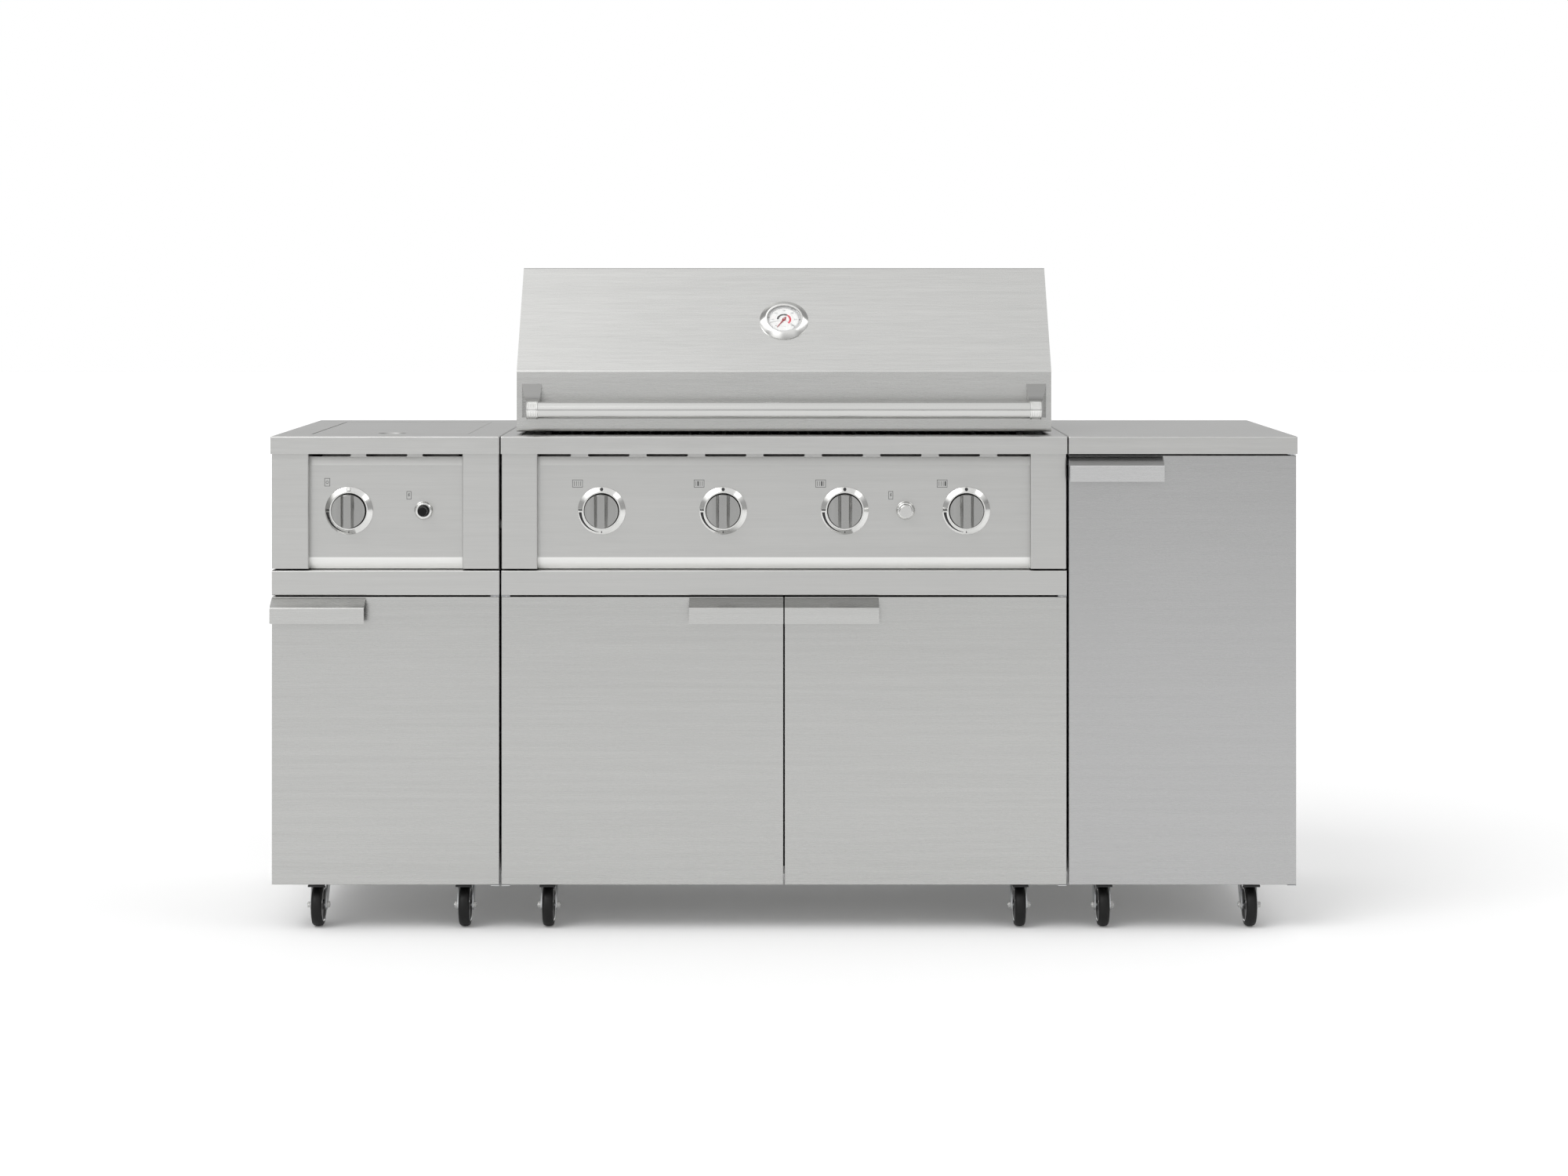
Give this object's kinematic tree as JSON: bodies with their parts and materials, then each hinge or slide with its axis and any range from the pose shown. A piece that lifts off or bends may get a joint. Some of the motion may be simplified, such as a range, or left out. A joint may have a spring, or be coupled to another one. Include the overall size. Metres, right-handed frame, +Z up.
{
  "type": "outdoor kitchen island",
  "caption": "Steel outdoor kitchen island on casters, with a hooded gas grill, a side burner under a flush lid, control knobs, cabinet doors and a rear drip tray.",
  "frame": {"origin": "on the floor under the wheels, at the centre of the island's outline", "axes": "+X to the right seen from the front, +Y to the back, +Z up"},
  "size_m": [1.802, 0.618, 1.165],
  "materials": {
    "worktop_steel": "brushed along the length",
    "front_steel": "brushed along the length",
    "door_steel": "brushed along the length",
    "hood_steel": "brushed along the length",
    "handle_steel": "satin",
    "cabinet_steel": "mill finish",
    "firebox_steel": "mill finish",
    "bezel_steel": "turned",
    "knob_steel": "satin",
    "pipe_steel": "satin",
    "screw_steel": "plain",
    "zinc_plated_steel": "zinc plated",
    "brass": "machined",
    "cast_iron": "enamelled",
    "black_plastic": "matte",
    "needle_red": "painted",
    "lens_glass": "clear",
    "black_rubber": "moulded"
  },
  "bodies": {
    "island": {"left_worktop": "worktop_steel", "centre_worktop": "worktop_steel", "right_worktop": "worktop_steel", "cabinet_side_panels": "cabinet_steel", "cabinet_back_panels": "cabinet_steel", "cabinet_floors_and_shelf": "cabinet_steel", "front_frames": "front_steel", "control_panels": "front_steel", "control_bezels": "bezel_steel", "hinge_plates_and_pins": "cabinet_steel", "gas_manifold": "pipe_steel", "gas_valves": "brass", "firebox": "firebox_steel", "main_burners": "firebox_steel", "flame_tamers": "firebox_steel", "cooking_grates": "cast_iron", "warming_rack": "pipe_steel", "side_burner_bowl": "firebox_steel", "side_burner_head": "cast_iron", "side_burner_grate": "cast_iron", "caster_plates": "zinc_plated_steel", "bumpers_and_screws": "screw_steel"},
    "hood": {"hood_shell": "hood_steel", "hood_end_panels": "hood_steel", "hood_handle_bar": "handle_steel", "hood_handle_brackets": "handle_steel", "thermometer_case": "bezel_steel", "thermometer_lens": "lens_glass"},
    "thermometer_needle": {"thermometer_needle": "needle_red"},
    "side_burner_lid": {"side_burner_lid": "worktop_steel"},
    "drip_tray": {"drip_tray": "firebox_steel"},
    "left_door": {"left_door": "door_steel"},
    "centre_left_door": {"centre_left_door": "door_steel"},
    "centre_right_door": {"centre_right_door": "door_steel"},
    "right_door": {"right_door": "door_steel"},
    "side_knob": {"side_knob": "knob_steel"},
    "side_igniter_button": {"side_igniter_button": "black_plastic"},
    "main_igniter_button": {"main_igniter_button": "bezel_steel"},
    "main_knob_1": {"main_knob_1": "knob_steel"},
    "main_knob_2": {"main_knob_2": "knob_steel"},
    "main_knob_3": {"main_knob_3": "knob_steel"},
    "main_knob_4": {"main_knob_4": "knob_steel"},
    "caster_fork_left_outer": {"caster_fork_left_outer": "zinc_plated_steel"},
    "front_wheel_left_outer": {"front_wheel_left_outer": "black_rubber"},
    "rear_wheel_left_outer": {"rear_wheel_left_outer": "black_rubber"},
    "caster_fork_left_inner": {"caster_fork_left_inner": "zinc_plated_steel"},
    "front_wheel_left_inner": {"front_wheel_left_inner": "black_rubber"},
    "rear_wheel_left_inner": {"rear_wheel_left_inner": "black_rubber"},
    "caster_fork_centre_left": {"caster_fork_centre_left": "zinc_plated_steel"},
    "front_wheel_centre_left": {"front_wheel_centre_left": "black_rubber"},
    "rear_wheel_centre_left": {"rear_wheel_centre_left": "black_rubber"},
    "caster_fork_centre_right": {"caster_fork_centre_right": "zinc_plated_steel"},
    "front_wheel_centre_right": {"front_wheel_centre_right": "black_rubber"},
    "rear_wheel_centre_right": {"rear_wheel_centre_right": "black_rubber"},
    "caster_fork_right_inner": {"caster_fork_right_inner": "zinc_plated_steel"},
    "front_wheel_right_inner": {"front_wheel_right_inner": "black_rubber"},
    "rear_wheel_right_inner": {"rear_wheel_right_inner": "black_rubber"},
    "caster_fork_right_outer": {"caster_fork_right_outer": "zinc_plated_steel"},
    "front_wheel_right_outer": {"front_wheel_right_outer": "black_rubber"},
    "rear_wheel_right_outer": {"rear_wheel_right_outer": "black_rubber"}
  },
  "joints": [
    {"name": "hood_hinge", "type": "hinge", "parent": "island", "child": "hood", "pos_m": [0, 0.234, 0.905], "axis": [-1, 0, 0], "range_deg": [0, 90]},
    {"name": "side_burner_lid_hinge", "type": "hinge", "parent": "island", "child": "side_burner_lid", "pos_m": [-0.7, 0.214, 0.862], "axis": [-1, 0, 0], "range_deg": [0, 95]},
    {"name": "left_door_hinge", "type": "hinge", "parent": "island", "child": "left_door", "pos_m": [-0.50825, -0.278, 0], "axis": [0, 0, 1], "range_deg": [0, 85]},
    {"name": "centre_left_door_hinge", "type": "hinge", "parent": "island", "child": "centre_left_door", "pos_m": [-0.48825, -0.278, 0], "axis": [0, 0, -1], "range_deg": [0, 85]},
    {"name": "centre_right_door_hinge", "type": "hinge", "parent": "island", "child": "centre_right_door", "pos_m": [0.48825, -0.278, 0], "axis": [0, 0, 1], "range_deg": [0, 85]},
    {"name": "right_door_hinge", "type": "hinge", "parent": "island", "child": "right_door", "pos_m": [0.89175, -0.278, 0], "axis": [0, 0, 1], "range_deg": [0, 85]},
    {"name": "side_knob_turn", "type": "hinge", "parent": "island", "child": "side_knob", "pos_m": [-0.7657, -0.271, 0.738], "axis": [0, -1, 0], "range_deg": [0, 180]},
    {"name": "main_knob_1_turn", "type": "hinge", "parent": "island", "child": "main_knob_1", "pos_m": [-0.321, -0.271, 0.738], "axis": [0, -1, 0], "range_deg": [0, 180]},
    {"name": "main_knob_2_turn", "type": "hinge", "parent": "island", "child": "main_knob_2", "pos_m": [-0.107, -0.271, 0.738], "axis": [0, -1, 0], "range_deg": [0, 180]},
    {"name": "main_knob_3_turn", "type": "hinge", "parent": "island", "child": "main_knob_3", "pos_m": [0.107, -0.271, 0.738], "axis": [0, -1, 0], "range_deg": [0, 180]},
    {"name": "main_knob_4_turn", "type": "hinge", "parent": "island", "child": "main_knob_4", "pos_m": [0.321, -0.271, 0.738], "axis": [0, -1, 0], "range_deg": [0, 180]},
    {"name": "side_igniter_push", "type": "slide", "parent": "island", "child": "side_igniter_button", "axis": [0, 1, 0], "range_m": [0, 0.006], "stiffness_N_per_m": 300},
    {"name": "main_igniter_push", "type": "slide", "parent": "island", "child": "main_igniter_button", "axis": [0, 1, 0], "range_m": [0, 0.006], "stiffness_N_per_m": 300},
    {"name": "thermometer_turn", "type": "hinge", "parent": "hood", "child": "thermometer_needle", "pos_m": [0, -0.15631, 1.07075], "axis": [0, 0.7651, -0.6439], "range_deg": [0, 270]},
    {"name": "drip_tray_slide", "type": "slide", "parent": "island", "child": "drip_tray", "axis": [0, 1, 0], "range_m": [0, 0.42]},
    {"name": "swivel_left_outer", "type": "hinge", "parent": "island", "child": "caster_fork_left_outer", "pos_m": [-0.82425, -0.201, 0.09], "axis": [0, 0, 1], "continuous": true},
    {"name": "front_roll_left_outer", "type": "hinge", "parent": "caster_fork_left_outer", "child": "front_wheel_left_outer", "pos_m": [-0.82425, -0.233, 0.0375], "axis": [1, 0, 0], "continuous": true},
    {"name": "rear_roll_left_outer", "type": "hinge", "parent": "island", "child": "rear_wheel_left_outer", "pos_m": [-0.82425, 0.229, 0.0375], "axis": [1, 0, 0], "continuous": true},
    {"name": "swivel_left_inner", "type": "hinge", "parent": "island", "child": "caster_fork_left_inner", "pos_m": [-0.56425, -0.201, 0.09], "axis": [0, 0, 1], "continuous": true},
    {"name": "front_roll_left_inner", "type": "hinge", "parent": "caster_fork_left_inner", "child": "front_wheel_left_inner", "pos_m": [-0.56425, -0.233, 0.0375], "axis": [1, 0, 0], "continuous": true},
    {"name": "rear_roll_left_inner", "type": "hinge", "parent": "island", "child": "rear_wheel_left_inner", "pos_m": [-0.56425, 0.229, 0.0375], "axis": [1, 0, 0], "continuous": true},
    {"name": "swivel_centre_left", "type": "hinge", "parent": "island", "child": "caster_fork_centre_left", "pos_m": [-0.4165, -0.201, 0.09], "axis": [0, 0, 1], "continuous": true},
    {"name": "front_roll_centre_left", "type": "hinge", "parent": "caster_fork_centre_left", "child": "front_wheel_centre_left", "pos_m": [-0.4165, -0.233, 0.0375], "axis": [1, 0, 0], "continuous": true},
    {"name": "rear_roll_centre_left", "type": "hinge", "parent": "island", "child": "rear_wheel_centre_left", "pos_m": [-0.4165, 0.229, 0.0375], "axis": [1, 0, 0], "continuous": true},
    {"name": "swivel_centre_right", "type": "hinge", "parent": "island", "child": "caster_fork_centre_right", "pos_m": [0.4165, -0.201, 0.09], "axis": [0, 0, 1], "continuous": true},
    {"name": "front_roll_centre_right", "type": "hinge", "parent": "caster_fork_centre_right", "child": "front_wheel_centre_right", "pos_m": [0.4165, -0.233, 0.0375], "axis": [1, 0, 0], "continuous": true},
    {"name": "rear_roll_centre_right", "type": "hinge", "parent": "island", "child": "rear_wheel_centre_right", "pos_m": [0.4165, 0.229, 0.0375], "axis": [1, 0, 0], "continuous": true},
    {"name": "swivel_right_inner", "type": "hinge", "parent": "island", "child": "caster_fork_right_inner", "pos_m": [0.56425, -0.201, 0.09], "axis": [0, 0, 1], "continuous": true},
    {"name": "front_roll_right_inner", "type": "hinge", "parent": "caster_fork_right_inner", "child": "front_wheel_right_inner", "pos_m": [0.56425, -0.233, 0.0375], "axis": [1, 0, 0], "continuous": true},
    {"name": "rear_roll_right_inner", "type": "hinge", "parent": "island", "child": "rear_wheel_right_inner", "pos_m": [0.56425, 0.229, 0.0375], "axis": [1, 0, 0], "continuous": true},
    {"name": "swivel_right_outer", "type": "hinge", "parent": "island", "child": "caster_fork_right_outer", "pos_m": [0.82425, -0.201, 0.09], "axis": [0, 0, 1], "continuous": true},
    {"name": "front_roll_right_outer", "type": "hinge", "parent": "caster_fork_right_outer", "child": "front_wheel_right_outer", "pos_m": [0.82425, -0.233, 0.0375], "axis": [1, 0, 0], "continuous": true},
    {"name": "rear_roll_right_outer", "type": "hinge", "parent": "island", "child": "rear_wheel_right_outer", "pos_m": [0.82425, 0.229, 0.0375], "axis": [1, 0, 0], "continuous": true}
  ]
}
